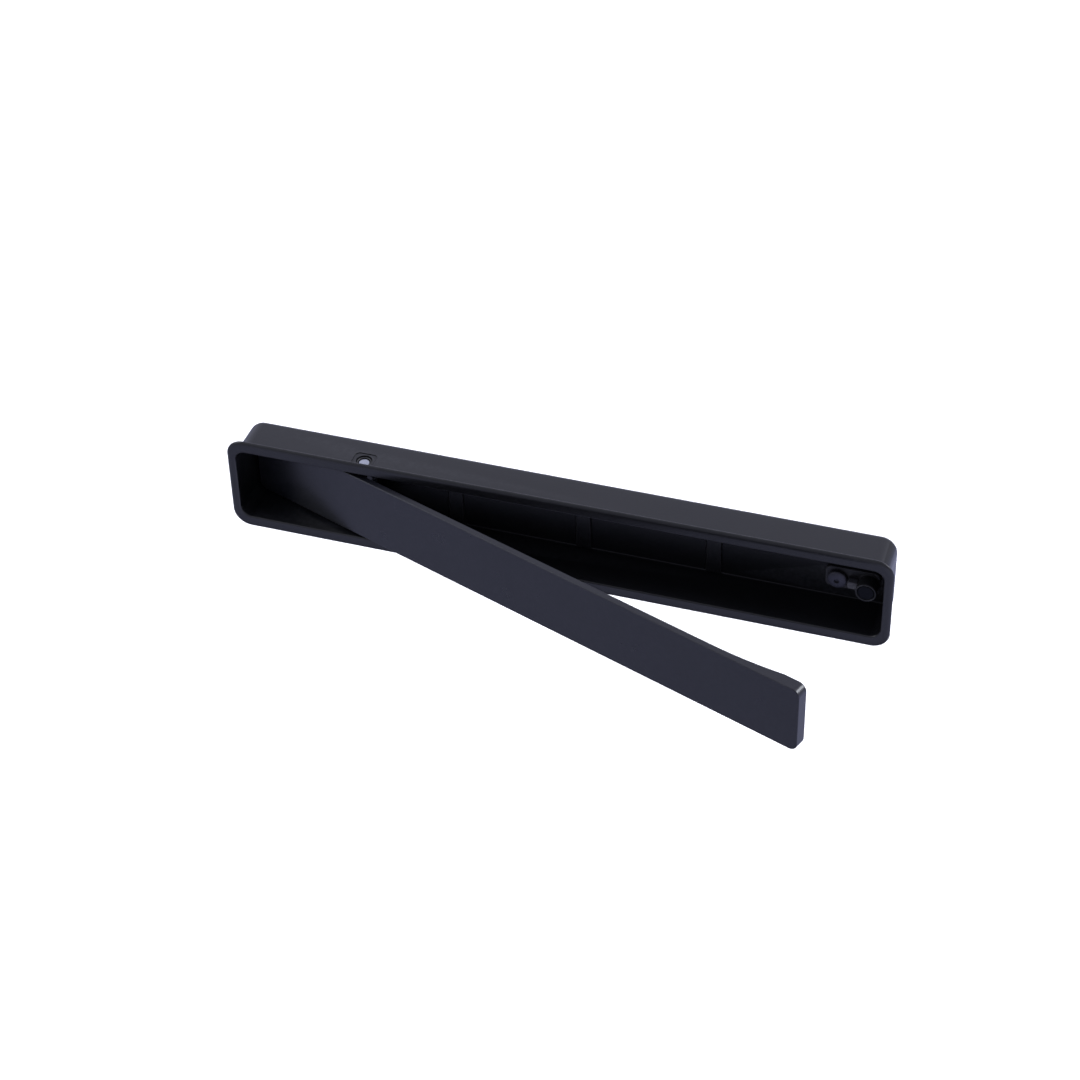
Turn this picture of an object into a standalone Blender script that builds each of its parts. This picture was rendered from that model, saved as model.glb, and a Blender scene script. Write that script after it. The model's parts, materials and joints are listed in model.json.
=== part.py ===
"""A flush-fitting flip pull handle for a cupboard door or drawer front.

A long tray with a thin flange drops into a routed slot. A flat lever lies in the tray, level with the
flange, and turns on an upright pin near its left end: pressing the short arm in swings the long arm out.
A small magnet at the far end of the tray holds the lever shut.

Metres. +X runs along the handle towards the lever's tip, +Y into the door and +Z up, across the handle.
The origin is the middle of the tray's rear face. A "depth" is measured inwards from the flange's front.
The handle is drawn with its lever fully open.
"""

import math

import bmesh
import bpy
from mathutils import Matrix, Vector

# Tray and flange
body_length = 0.177
body_height = 0.0238
cavity_depth = 0.0132
back_wall = 0.001
end_wall = 0.00085
side_wall = 0.0011
body_corner_radius = 0.0045
body_rear_radius = 0.002
cavity_corner_radius = 0.003
cavity_floor_radius = 0.0006
flange_thickness = 0.001
flange_end_overhang = 0.0016
flange_side_overhang = 0.0023
flange_corner_radius = 0.0049
flange_edge_round = 0.0006

# Cast ribs across the tray's floor
rib_count = 3
rib_pitch = 0.0355
middle_rib_x = 0.005
rib_width = 0.004
rib_rise = 0.0006
rib_end_share = 0.6

# Lever
lever_thickness = 0.0019
tip_thickness = 0.0035
tip_land = 0.0065
tip_ramp = 0.020
short_end_thickness = 0.0011
short_end_taper = 0.010
lever_corner_radius = 0.0023
lever_edge_round = 0.0003
lever_side_clearance = 0.0009
lever_tip_clearance = 0.0003
lever_short_clearance = 0.0006

# Pivot
pivot_from_end = 0.0357
pivot_depth = 0.0052
pin_diameter = 0.003
pin_chamfer = 0.0003
pin_end_sink = 0.0008
barrel_wall = 0.0015
bush_wall = 0.0004
bush_end_sink = 0.0006
bush_flange_diameter = 0.0062
bush_side_gap = 0.00025
pocket_length = 0.0062
pocket_width = 0.0056
pocket_corner_radius = 0.0014
pocket_sink = 0.00025

# Magnet catch at the lever's tip
magnet_diameter = 0.0043
magnet_length = 0.004
magnet_chamfer = 0.00015
magnet_from_end = 0.0051
cup_wall = 0.00045
cup_floor = 0.0014
catch_pitch = 0.0081
boss_rise = 0.0034
boss_diameter = 0.0056
bracket_thickness = 0.0015
bracket_width = 0.0066
web_width = 0.0022
web_rise = 0.0024
strike_diameter = 0.005
strike_thickness = 0.0012
strike_chamfer = 0.0001

# Bracket screw
screw_head_diameter = 0.0052
screw_head_height = 0.0015
screw_edge_share = 0.45
screw_shank_diameter = 0.0022
screw_engagement = 0.0026
socket_across_corners = 0.0015
socket_sink = 0.0007

# Clearances
seat_gap = 0.0003
stop_gap = 0.0003
pin_clearance = 0.00015
cut_margin = 0.001

# Smoothness
round_segments = 32
corner_segments = 6
edge_segments = 3
lever_edge_segments = 2
ramp_steps = 8
dome_steps = 6
sharp_angle_deg = 50

# Sizes that follow from those above
housing_depth = cavity_depth + back_wall
front_y = -housing_depth
flange_length = body_length + 2 * flange_end_overhang
flange_height = body_height + 2 * flange_side_overhang
opening_length = body_length - 2 * end_wall
opening_height = body_height - 2 * side_wall
pivot_x = -body_length / 2 + pivot_from_end
pivot_y = front_y + pivot_depth
short_reach = opening_length / 2 + pivot_x - lever_short_clearance
long_reach = opening_length / 2 - pivot_x - lever_tip_clearance
lever_height = opening_height - 2 * lever_side_clearance
pin_bore_radius = pin_diameter / 2 + pin_clearance
barrel_radius = pin_bore_radius + barrel_wall
bush_radius = pin_bore_radius + bush_wall
bush_seat_radius = bush_radius + pin_clearance
pin_length = body_height - 2 * pin_end_sink
magnet_x = opening_length / 2 - magnet_from_end
screw_x = magnet_x - catch_pitch
boss_top_depth = cavity_depth - boss_rise
bracket_back_depth = boss_top_depth - seat_gap
bracket_front_depth = bracket_back_depth - bracket_thickness
cup_top_depth = tip_thickness + stop_gap
cup_radius = magnet_diameter / 2 + pin_clearance + cup_wall
cup_floor_depth = cup_top_depth + magnet_length + seat_gap
cup_foot_depth = max(cup_floor_depth + cup_floor, bracket_back_depth - bracket_thickness / 2)
magnet_boss_rise = cavity_depth - max(cup_foot_depth, bracket_back_depth) - seat_gap
strike_radius = strike_diameter / 2


def open_angle():
    """How far the lever turns before its short end meets the tray's floor, in radians."""
    lift = pivot_depth - short_end_thickness
    reach = math.hypot(short_reach, lift)
    travel = cavity_depth - stop_gap - pivot_depth
    return math.atan2(lift, short_reach) + math.asin(travel / reach)


def clear_scene():
    for obj in list(bpy.data.objects):
        bpy.data.objects.remove(obj, do_unlink=True)


def new_collection(name, hidden=False):
    collection = bpy.data.collections.new(name)
    bpy.context.scene.collection.children.link(collection)
    collection.hide_render = hidden
    return collection


def material(name, colour, roughness, metallic):
    made = bpy.data.materials.new(name)
    made.use_nodes = True
    shader = made.node_tree.nodes["Principled BSDF"]
    shader.inputs["Base Color"].default_value = (*colour, 1.0)
    shader.inputs["Roughness"].default_value = roughness
    shader.inputs["Metallic"].default_value = metallic
    return made


def add_object(name, mesh, collection, paint=None):
    obj = bpy.data.objects.new(name, mesh)
    collection.objects.link(obj)
    if paint:
        mesh.materials.append(paint)
    return obj


def mesh_from(bm, name):
    bmesh.ops.recalc_face_normals(bm, faces=bm.faces)
    mesh = bpy.data.meshes.new(name)
    bm.to_mesh(mesh)
    bm.free()
    return mesh


def smooth(obj, angle=35):
    obj.data.shade_smooth()
    obj.data.set_sharp_from_angle(angle=math.radians(angle))


def bevel(bm, edges, radius, segments):
    bmesh.ops.bevel(
        bm,
        geom=edges,
        offset=radius,
        offset_type="OFFSET",
        segments=segments,
        profile=0.5,
        affect="EDGES",
        clamp_overlap=True,
    )


def slab(name, low, high, corner=0.0, rim=0.0, rim_side=0):
    """A block from low to high whose edges along Y are rounded by corner.
    Its front outline (rim_side -1) or its rear one (+1) is rounded by rim."""
    low, high = Vector(low), Vector(high)
    size = high - low
    bm = bmesh.new()
    placed = Matrix.Translation((low + high) / 2) @ Matrix.Diagonal((*size, 1))
    bmesh.ops.create_cube(bm, size=1.0, matrix=placed)
    if corner:
        along_y = [e for e in bm.edges if abs((e.verts[0].co - e.verts[1].co).y) > size.y / 2]
        bevel(bm, along_y, corner, corner_segments)
    if rim:
        plane = low.y if rim_side < 0 else high.y
        outline = [e for e in bm.edges if all(abs(v.co.y - plane) < size.y / 100 for v in e.verts)]
        bevel(bm, outline, rim, edge_segments)
    return mesh_from(bm, name)


def turned(name, profile, axis):
    """A solid turned about the local Z axis from (radius, height) points, then laid along axis."""
    mesh = bpy.data.meshes.new(name)
    points = [(radius, 0.0, height) for radius, height in profile]
    mesh.from_pydata(points, [(i, i + 1) for i in range(len(points) - 1)], [])
    obj = bpy.data.objects.new(name, mesh)
    bpy.context.scene.collection.objects.link(obj)
    screw = obj.modifiers.new("Screw", "SCREW")
    screw.steps = round_segments
    screw.render_steps = round_segments
    screw.use_merge_vertices = True
    screw.merge_threshold = 0.00001
    turned_mesh = bake(obj)
    bm = bmesh.new()
    bm.from_mesh(turned_mesh)
    turn = Vector(axis).to_track_quat("Z", "Y").to_matrix().to_4x4()
    bmesh.ops.transform(bm, matrix=turn, verts=bm.verts)
    bpy.data.meshes.remove(turned_mesh)
    return mesh_from(bm, name)


def bake(obj):
    """The object's mesh with its modifiers applied; the object itself is removed."""
    bpy.context.view_layer.update()
    graph = bpy.context.evaluated_depsgraph_get()
    mesh = bpy.data.meshes.new_from_object(obj.evaluated_get(graph))
    bpy.data.objects.remove(obj, do_unlink=True)
    return mesh


def rod(name, radius, length, axis, chamfer=0.0):
    """A solid cylinder from 0 to length along axis, with both ends chamfered."""
    rim = radius - chamfer
    if chamfer:
        profile = [(0, length), (rim, length), (radius, length - chamfer)]
        profile += [(radius, chamfer), (rim, 0), (0, 0)]
    else:
        profile = [(0, length), (radius, length), (radius, 0), (0, 0)]
    return turned(name, profile, axis)


def combine(obj, mesh, place, operation, cutters):
    """Joins a closed mesh to obj, or cuts it away, with a Boolean modifier."""
    tool = add_object(f"{obj.name}_{mesh.name}_tool", mesh, cutters)
    tool.location = place
    tool.hide_render = True
    tool.display_type = "WIRE"
    modifier = obj.modifiers.new(mesh.name, "BOOLEAN")
    modifier.operation = operation
    modifier.solver = "EXACT"
    modifier.object = tool
    return tool


def make_housing(parts, cutters, paint):
    """The cast tray: body, flange, cavity, floor ribs, catch bosses and the bushes' two seats."""
    half_body = body_length / 2
    half_high = body_height / 2
    body = slab(
        "body",
        (-half_body, front_y + flange_thickness / 2, -half_high),
        (half_body, 0.0, half_high),
        body_corner_radius,
        body_rear_radius,
        1,
    )
    housing = add_object("housing", body, parts, paint)
    flange = slab(
        "flange",
        (-flange_length / 2, front_y, -flange_height / 2),
        (flange_length / 2, front_y + flange_thickness, flange_height / 2),
        flange_corner_radius,
        flange_edge_round,
        -1,
    )
    combine(housing, flange, (0, 0, 0), "UNION", cutters)
    cavity = slab(
        "cavity",
        (-opening_length / 2, front_y - cut_margin, -opening_height / 2),
        (opening_length / 2, front_y + cavity_depth, opening_height / 2),
        cavity_corner_radius,
        cavity_floor_radius,
        1,
    )
    combine(housing, cavity, (0, 0, 0), "DIFFERENCE", cutters)
    add_floor_ribs(housing, cutters)
    add_catch_bosses(housing, cutters)
    cut_bush_seats(housing, cutters)
    smooth(housing)
    return housing


def add_floor_ribs(housing, cutters):
    """Low ribs across the tray's floor, which run out in the rounds at its sides."""
    reach = opening_height / 2 - cavity_floor_radius * rib_end_share
    for index in range(rib_count):
        centre = middle_rib_x + (index - (rib_count - 1) / 2) * rib_pitch
        rib = slab(
            f"rib_{index + 1}",
            (-rib_width / 2, front_y + cavity_depth - rib_rise, -reach),
            (rib_width / 2, front_y + cavity_depth + back_wall / 2, reach),
        )
        combine(housing, rib, (centre, 0, 0), "UNION", cutters)


def add_catch_bosses(housing, cutters):
    """Two round bosses under the magnet bracket: one takes the screw, one backs the magnet's cup."""
    for label, x, rise in (("screw", screw_x, boss_rise), ("magnet", magnet_x, magnet_boss_rise)):
        boss = rod(f"{label}_boss", boss_diameter / 2, rise + back_wall / 2, (0, -1, 0))
        combine(housing, boss, (x, -back_wall / 2, 0), "UNION", cutters)
    hole_radius = screw_shank_diameter / 2 + pin_clearance
    hole_length = screw_engagement + seat_gap
    hole = rod("screw_hole", hole_radius, hole_length + cut_margin, (0, 1, 0))
    combine(housing, hole, (screw_x, front_y + boss_top_depth - cut_margin, 0), "DIFFERENCE", cutters)


def cut_bush_seats(housing, cutters):
    """In each long wall, the hole for a bush and the shallow pocket round it."""
    seat = rod("bush_seat", bush_seat_radius, body_height + 2 * cut_margin, (0, 0, 1))
    combine(housing, seat, (pivot_x, pivot_y, -body_height / 2 - cut_margin), "DIFFERENCE", cutters)
    for label, side in (("upper", 1), ("lower", -1)):
        place = (pivot_x, pivot_y, side * body_height / 2)
        combine(housing, pocket_mesh(f"{label}_pocket"), place, "DIFFERENCE", cutters)


def pocket_mesh(name):
    """A shallow pocket with rounded corners, centred on its wall's surface."""
    bm = bmesh.new()
    sized = Matrix.Diagonal((pocket_length, pocket_width, 2 * pocket_sink, 1))
    bmesh.ops.create_cube(bm, size=1.0, matrix=sized)
    upright = [e for e in bm.edges if abs((e.verts[0].co - e.verts[1].co).z) > pocket_sink]
    bevel(bm, upright, pocket_corner_radius, corner_segments)
    return mesh_from(bm, name)


def lever_outline():
    """The lever seen from above, closed, about the pivot: its level front, thin short end and thick tip."""
    front = -pivot_depth
    back = front + lever_thickness
    tip_back = front + tip_thickness
    ramp_end = long_reach - tip_land
    points = [
        (-short_reach, front),
        (long_reach, front),
        (long_reach, tip_back),
    ]
    for step in range(ramp_steps + 1):
        share = step / ramp_steps
        rise = (1 - share) ** 2
        points.append((ramp_end - share * tip_ramp, back + rise * (tip_back - back)))
    points.append((-short_reach + short_end_taper, back))
    points.append((-short_reach, front + short_end_thickness))
    return points


def extruded(name, outline, height):
    """A flat outline in XY as a solid from -height/2 to +height/2."""
    curve = bpy.data.curves.new(name, "CURVE")
    curve.dimensions = "2D"
    curve.fill_mode = "BOTH"
    curve.extrude = height / 2
    spline = curve.splines.new("POLY")
    spline.points.add(len(outline) - 1)
    for point, (x, y) in zip(spline.points, outline):
        point.co = (x, y, 0, 1)
    spline.use_cyclic_u = True
    obj = bpy.data.objects.new(name, curve)
    bpy.context.scene.collection.objects.link(obj)
    mesh = bake(obj)
    bm = bmesh.new()
    bm.from_mesh(mesh)
    bpy.data.meshes.remove(mesh)
    bmesh.ops.remove_doubles(bm, verts=bm.verts, dist=0.000001)
    bmesh.ops.dissolve_limit(bm, angle_limit=math.radians(1), verts=bm.verts, edges=bm.edges)
    return bm


def end_corners(bm):
    """The plate's edges that run through its thickness at both ends, top and bottom."""
    corners = []
    for edge in bm.edges:
        first, second = (v.co for v in edge.verts)
        level = abs(first.z - second.z) < stop_gap
        for end_x in (-short_reach, long_reach):
            if level and abs(first.x - end_x) < stop_gap and abs(second.x - end_x) < stop_gap:
                corners.append(edge)
    return corners


def make_lever(parts, cutters, paint, axis):
    """The flat cast lever with its pivot barrel and, behind its tip, the strike disc's pocket."""
    bm = extruded("lever_plate", lever_outline(), lever_height)
    bevel(bm, end_corners(bm), lever_corner_radius, corner_segments)
    lever = add_object("flip_lever", mesh_from(bm, "flip_lever"), parts, paint)
    front_round = lever.modifiers.new("Edge round", "BEVEL")
    front_round.width = lever_edge_round
    front_round.segments = lever_edge_segments
    front_round.limit_method = "ANGLE"
    front_round.angle_limit = math.radians(sharp_angle_deg)
    barrel = rod("barrel", barrel_radius, lever_height, (0, 0, 1))
    tools = [combine(lever, barrel, (0, 0, -lever_height / 2), "UNION", cutters)]
    saddle = slab(
        "saddle",
        (-barrel_radius, lever_thickness / 2 - pivot_depth, -lever_height / 2),
        (barrel_radius, 0, lever_height / 2),
    )
    tools.append(combine(lever, saddle, (0, 0, 0), "UNION", cutters))
    bore = rod("bore", pin_bore_radius, lever_height + 2 * cut_margin, (0, 0, 1))
    tools.append(combine(lever, bore, (0, 0, -lever_height / 2 - cut_margin), "DIFFERENCE", cutters))
    pocket_radius = strike_radius + pin_clearance
    pocket_reach = strike_thickness + seat_gap
    strike_pocket = rod("strike_pocket", pocket_radius, pocket_reach + cut_margin, (0, 1, 0))
    pocket_floor = tip_thickness - pivot_depth - pocket_reach
    place = (magnet_x - pivot_x, pocket_floor, 0)
    tools.append(combine(lever, strike_pocket, place, "DIFFERENCE", cutters))
    for obj in [lever, *tools]:
        obj.parent = axis
    smooth(lever)
    return lever


def make_strike_disc(parts, paint, axis):
    """The steel disc that the magnet pulls, level with the back of the lever's tip."""
    mesh = rod("strike_disc", strike_radius, strike_thickness, (0, 1, 0), strike_chamfer)
    disc = add_object("strike_disc", mesh, parts, paint)
    disc.parent = axis
    disc.location = (magnet_x - pivot_x, tip_thickness - pivot_depth - strike_thickness, 0)
    smooth(disc)


def make_pin(parts, paint, axis):
    """The steel pin, pressed through the lever's barrel, whose ends turn in the bushes."""
    mesh = rod("pivot_pin", pin_diameter / 2, pin_length, (0, 0, 1), pin_chamfer)
    pin = add_object("pivot_pin", mesh, parts, paint)
    pin.parent = axis
    pin.location = (0, 0, -pin_length / 2)
    smooth(pin)


def make_bushes(parts, paint):
    """A flanged bush at each end of the lever: spigot in the wall's hole, flange beside the lever."""
    flange_radius = bush_flange_diameter / 2
    flange_foot = lever_height / 2 + bush_side_gap
    flange_head = opening_height / 2 - bush_side_gap
    spigot_head = body_height / 2 - bush_end_sink
    profile = [
        (pin_bore_radius, spigot_head),
        (bush_radius, spigot_head),
        (bush_radius, flange_head),
        (flange_radius, flange_head),
        (flange_radius, flange_foot),
        (pin_bore_radius, flange_foot),
        (pin_bore_radius, spigot_head),
    ]
    for label, side in (("upper", 1), ("lower", -1)):
        mesh = turned(f"{label}_bush", profile, (0, 0, side))
        bush = add_object(f"{label}_bush", mesh, parts, paint)
        bush.location = (pivot_x, pivot_y, 0)
        smooth(bush)


def make_bracket(parts, cutters, paint):
    """The moulded bracket: a plate on the two bosses, the magnet's cup, and a web between cup and screw."""
    plate = slab(
        "bracket_plate",
        (screw_x - bracket_width / 2, front_y + bracket_front_depth, -bracket_width / 2),
        (magnet_x + cup_radius, front_y + bracket_back_depth, bracket_width / 2),
        bracket_width / 4,
    )
    bracket = add_object("magnet_bracket", plate, parts, paint)
    cup = rod("cup", cup_radius, cup_foot_depth - cup_top_depth, (0, 1, 0))
    combine(bracket, cup, (magnet_x, front_y + cup_top_depth, 0), "UNION", cutters)
    web_start = screw_x + screw_head_diameter / 2 + seat_gap
    web_end = magnet_x - cup_radius / 2
    plate_y = front_y + bracket_front_depth
    web = slab(
        "web",
        (web_start, plate_y - web_rise, -web_width / 2),
        (web_end, plate_y + bracket_thickness / 2, web_width / 2),
    )
    combine(bracket, web, (0, 0, 0), "UNION", cutters)
    seat_radius = magnet_diameter / 2 + pin_clearance
    seat = rod("magnet_seat", seat_radius, cup_floor_depth - cup_top_depth + cut_margin, (0, 1, 0))
    combine(bracket, seat, (magnet_x, front_y + cup_top_depth - cut_margin, 0), "DIFFERENCE", cutters)
    way_radius = screw_shank_diameter / 2 + pin_clearance
    screw_hole = rod("screw_way", way_radius, bracket_thickness * 2, (0, 1, 0))
    way_y = front_y + bracket_front_depth - bracket_thickness / 2
    combine(bracket, screw_hole, (screw_x, way_y, 0), "DIFFERENCE", cutters)
    smooth(bracket)


def make_magnet(parts, paint):
    mesh = rod("catch_magnet", magnet_diameter / 2, magnet_length, (0, 1, 0), magnet_chamfer)
    magnet = add_object("catch_magnet", mesh, parts, paint)
    magnet.location = (magnet_x, front_y + cup_top_depth, 0)
    smooth(magnet)


def make_screw(parts, cutters, paint):
    """A domed socket screw through the bracket into its boss."""
    head_radius = screw_head_diameter / 2
    shank_radius = screw_shank_diameter / 2
    profile = []
    for step in range(dome_steps + 1):
        turn = math.pi / 2 * step / dome_steps
        rise = screw_edge_share + (1 - screw_edge_share) * math.cos(turn)
        profile.append((head_radius * math.sin(turn), screw_head_height * rise))
    shank_length = seat_gap + bracket_thickness + seat_gap + screw_engagement
    profile += [(head_radius, 0), (shank_radius, 0), (shank_radius, -shank_length), (0, -shank_length)]
    screw = add_object("bracket_screw", turned("bracket_screw", profile, (0, -1, 0)), parts, paint)
    screw.location = (screw_x, front_y + bracket_front_depth - seat_gap, 0)
    bm = bmesh.new()
    radius = socket_across_corners / 2
    depth = 2 * socket_sink
    bmesh.ops.create_cone(bm, cap_ends=True, segments=6, radius1=radius, radius2=radius, depth=depth)
    bmesh.ops.rotate(bm, cent=(0, 0, 0), matrix=Matrix.Rotation(math.pi / 2, 3, "X"), verts=bm.verts)
    socket = combine(screw, mesh_from(bm, "socket"), (0, -screw_head_height, 0), "DIFFERENCE", cutters)
    socket.parent = screw
    smooth(screw)


def main():
    clear_scene()
    parts = new_collection("flush_flip_pull_handle")
    cutters = new_collection("cutters", hidden=True)
    black_paint = material("black_paint", (0.006, 0.0062, 0.0075), 0.34, 0.0)
    lever_paint = material("lever_paint", (0.006, 0.0064, 0.009), 0.3, 0.0)
    pin_steel = material("pin_steel", (0.55, 0.57, 0.60), 0.28, 1.0)
    nylon = material("nylon", (0.008, 0.008, 0.009), 0.55, 0.0)
    bracket_plastic = material("bracket_plastic", (0.012, 0.012, 0.015), 0.55, 0.0)
    magnet_nickel = material("magnet_nickel", (0.04, 0.042, 0.05), 0.45, 1.0)
    screw_black = material("screw_black", (0.04, 0.04, 0.048), 0.45, 1.0)
    strike_steel = material("strike_steel", (0.35, 0.35, 0.36), 0.35, 1.0)

    make_housing(parts, cutters, black_paint)
    axis = bpy.data.objects.new("pivot_axis", None)
    parts.objects.link(axis)
    axis.location = (pivot_x, pivot_y, 0)
    axis.rotation_euler = (0, 0, -open_angle())
    make_lever(parts, cutters, lever_paint, axis)
    make_strike_disc(parts, strike_steel, axis)
    make_pin(parts, pin_steel, axis)
    make_bushes(parts, nylon)
    make_bracket(parts, cutters, bracket_plastic)
    make_magnet(parts, magnet_nickel)
    make_screw(parts, cutters, screw_black)


main()
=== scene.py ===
"""Looks of the flush flip pull handle: rounded pieces, painted and metal finishes, floor, light and camera.

Metres, in the part's frame: +X along the handle, +Y into the door, +Z up, origin at the middle of the tray's
rear face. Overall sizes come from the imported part. A "depth" is measured inwards from the flange's front.
"""

import json
import math

import bmesh
import bpy
from mathutils import Matrix, Vector


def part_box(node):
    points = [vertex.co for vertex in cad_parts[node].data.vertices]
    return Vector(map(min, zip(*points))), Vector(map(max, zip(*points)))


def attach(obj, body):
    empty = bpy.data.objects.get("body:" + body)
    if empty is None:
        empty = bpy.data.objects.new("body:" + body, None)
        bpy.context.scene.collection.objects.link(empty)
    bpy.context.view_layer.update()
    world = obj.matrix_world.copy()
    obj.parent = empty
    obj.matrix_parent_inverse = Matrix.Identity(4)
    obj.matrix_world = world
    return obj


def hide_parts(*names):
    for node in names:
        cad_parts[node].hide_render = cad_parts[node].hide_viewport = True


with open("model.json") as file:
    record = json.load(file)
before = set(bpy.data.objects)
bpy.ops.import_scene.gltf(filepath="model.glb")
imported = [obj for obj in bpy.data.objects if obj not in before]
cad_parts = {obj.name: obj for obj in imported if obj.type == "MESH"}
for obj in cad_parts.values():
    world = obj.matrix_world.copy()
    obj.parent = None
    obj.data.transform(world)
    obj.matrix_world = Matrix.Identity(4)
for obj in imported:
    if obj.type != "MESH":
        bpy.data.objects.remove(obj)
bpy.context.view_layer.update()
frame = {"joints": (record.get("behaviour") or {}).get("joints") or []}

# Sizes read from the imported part
housing_low, housing_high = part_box("housing")
pin_low, pin_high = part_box("pivot_pin")
bush_low, bush_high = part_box("upper_bush")
magnet_low, magnet_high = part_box("catch_magnet")
screw_low, screw_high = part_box("bracket_screw")
hinge = frame["joints"][0]
pivot = Vector(hinge["pos_m"])
open_angle = math.radians(hinge["range_deg"][1])

front_y = housing_low.y
flange_half_length = housing_high.x
flange_half_height = housing_high.z
housing_depth = -front_y
pivot_depth = pivot.y - front_y
magnet_x = (magnet_low.x + magnet_high.x) / 2
screw_x = (screw_low.x + screw_high.x) / 2
screw_head_radius = (screw_high.z - screw_low.z) / 2
magnet_radius = (magnet_high.x - magnet_low.x) / 2
cup_top_depth = magnet_low.y - front_y
pin_radius = (pin_high.x - pin_low.x) / 2
pin_half_length = pin_high.z

# Tray, as the part has it
flange_side_overhang = 0.0023
flange_end_overhang = 0.0016
flange_thickness = 0.001
flange_corner_radius = 0.0049
flange_edge_depth = 0.0007
flange_edge_width = 0.0014
flange_back_round = 0.0003
body_half_length = flange_half_length - flange_end_overhang
body_half_height = flange_half_height - flange_side_overhang
body_corner_radius = 0.0045
body_rear_round = 0.002
body_draft = 0.00012
root_round = 0.0003
end_wall = 0.00085
side_wall = 0.0011
back_wall = 0.001
cavity_depth = housing_depth - back_wall
cavity_corner_radius = 0.003
cavity_floor_round = 0.0006
mouth_round = 0.0005
opening_half_length = body_half_length - end_wall
opening_half_height = body_half_height - side_wall

# Ribs across the floor, bosses, bush seats and ejector marks
rib_pitch = 0.0355
rib_middle_x = 0.005
rib_width = 0.004
rib_rise = 0.0006
rib_round = 0.00022
boss_radius = 0.0028
boss_rise = 0.0034
boss_round = 0.0003
seat_radius = 0.0022
pocket_length = 0.0062
pocket_width = 0.0056
pocket_corner_radius = 0.0014
pocket_sink = 0.00025
pocket_mouth_round = 0.00018
ejector_radius = 0.0025
ejector_sink = 0.00012
ejector_pitch = 0.046

# Lever
lever_side_clearance = 0.0009
lever_short_clearance = 0.0006
lever_tip_clearance = 0.0003
lever_half_height = opening_half_height - lever_side_clearance
lever_thickness = 0.0019
tip_thickness = 0.0035
tip_land = 0.0065
tip_ramp = 0.020
short_end_thickness = 0.0011
short_end_taper = 0.010
lever_corner_radius = 0.0023
lever_front_round = 0.00024
lever_back_round = 0.00035
lever_short_reach = opening_half_length + pivot.x - lever_short_clearance
lever_long_reach = opening_half_length - pivot.x - lever_tip_clearance
barrel_radius = 0.00315
barrel_fillet = 0.0011
bore_radius = 0.00158
strike_radius = 0.0025
strike_thickness = 0.0012
strike_pocket_radius = 0.00265
strike_gap = 0.0003

# Catch
bracket_front_depth = 0.008
bracket_back_depth = 0.0095
bracket_half_width = 0.0033
cup_radius = 0.00275
web_half_width = 0.0011
web_rise = 0.0024
clearance = 0.00015
seat_gap = 0.0003
bush_side_gap = 0.00025
screw_way_radius = 0.00125
screw_shank_radius = 0.0011
thread_pitch = 0.0005
thread_groove = 0.00016
socket_radius = 0.00075
socket_sink = 0.0007

# Photograph's viewpoint, about a point on the flange's front plane
view_azimuth = math.radians(18.91)
view_elevation = math.radians(39.93)
view_roll = math.radians(-1.576)
view_target = Vector((-0.002759, front_y, 0.00045))
view_distance = 0.70715
lens_mm = 90.8
sensor_mm = 36.0

# Studio: the floor, the surround's strengths by direction, and the lights
floor_drop = 0.10
floor_half = 3.0
floor_dark = (0.90, 0.90, 0.905)
floor_light = (0.92, 0.92, 0.925)
backdrop_radius = 2.9
below_left = 0.66
below_right = 1.2
straight_down = 0.25
above_front = 0.45
above_back = 0.85
tint_below = (0.64, 0.67, 1.0)
tint_above = (0.79, 0.80, 1.0)
side_tint = (0.9, 0.93, 1.0)
overhead_watts = 22.0
right_watts = 6.5
left_watts = 4.0

# Paint's gloss outside and inside the tray
open_gloss = 0.5
recess_gloss = 0.27

# Cutting overlap and smoothness
overlap = 0.001
arc_steps = 14
round_steps = 5
turn_steps = 64


# ---------------------------------------------------------------- mesh helpers

def place(name, mesh, body, paint, replaced=(), matrix=None):
    """Adds a finished mesh as a piece that rides on a body and stands for CAD nodes."""
    if matrix is not None:
        mesh.transform(matrix)
    obj = bpy.data.objects.new(name, mesh)
    bpy.context.scene.collection.objects.link(obj)
    obj.data.materials.clear()
    obj.data.materials.append(paint)
    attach(obj, body)
    if replaced:
        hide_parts(*replaced)
    return obj


def shade(mesh, angle=32):
    mesh.shade_smooth()
    mesh.set_sharp_from_angle(angle=math.radians(angle))


def even_normals(obj):
    """Keeps flat faces flat-looking beside their rounded edges."""
    weighted = obj.modifiers.new("Even normals", "WEIGHTED_NORMAL")
    weighted.keep_sharp = True
    weighted.weight = 60


def closed_mesh(bm, name):
    bmesh.ops.recalc_face_normals(bm, faces=bm.faces)
    mesh = bpy.data.meshes.new(name)
    bm.to_mesh(mesh)
    bm.free()
    return mesh


def boolean(target, cutter_mesh, operation):
    """Adds or cuts a closed mesh, in target's own frame, and returns the resulting mesh."""
    base = bpy.data.objects.new("base", target)
    tool = bpy.data.objects.new("tool", cutter_mesh)
    for obj in (base, tool):
        bpy.context.scene.collection.objects.link(obj)
    modifier = base.modifiers.new("cut", "BOOLEAN")
    modifier.operation = operation
    modifier.solver = "EXACT"
    modifier.object = tool
    bpy.context.view_layer.update()
    graph = bpy.context.evaluated_depsgraph_get()
    mesh = bpy.data.meshes.new_from_object(base.evaluated_get(graph))
    for obj in (base, tool):
        bpy.data.objects.remove(obj, do_unlink=True)
    return mesh


def rounded_rectangle(half_x, half_z, radius, steps=arc_steps):
    """Points of a rounded rectangle in XZ, anticlockwise seen from the front."""
    points = []
    for quarter in range(4):
        sign_x = 1 if quarter in (0, 3) else -1
        sign_z = 1 if quarter in (0, 1) else -1
        for step in range(steps + 1):
            angle = math.pi / 2 * (quarter + step / steps)
            x = sign_x * (half_x - radius) + radius * math.cos(angle)
            z = sign_z * (half_z - radius) + radius * math.sin(angle)
            points.append((x, z))
    return points


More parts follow.
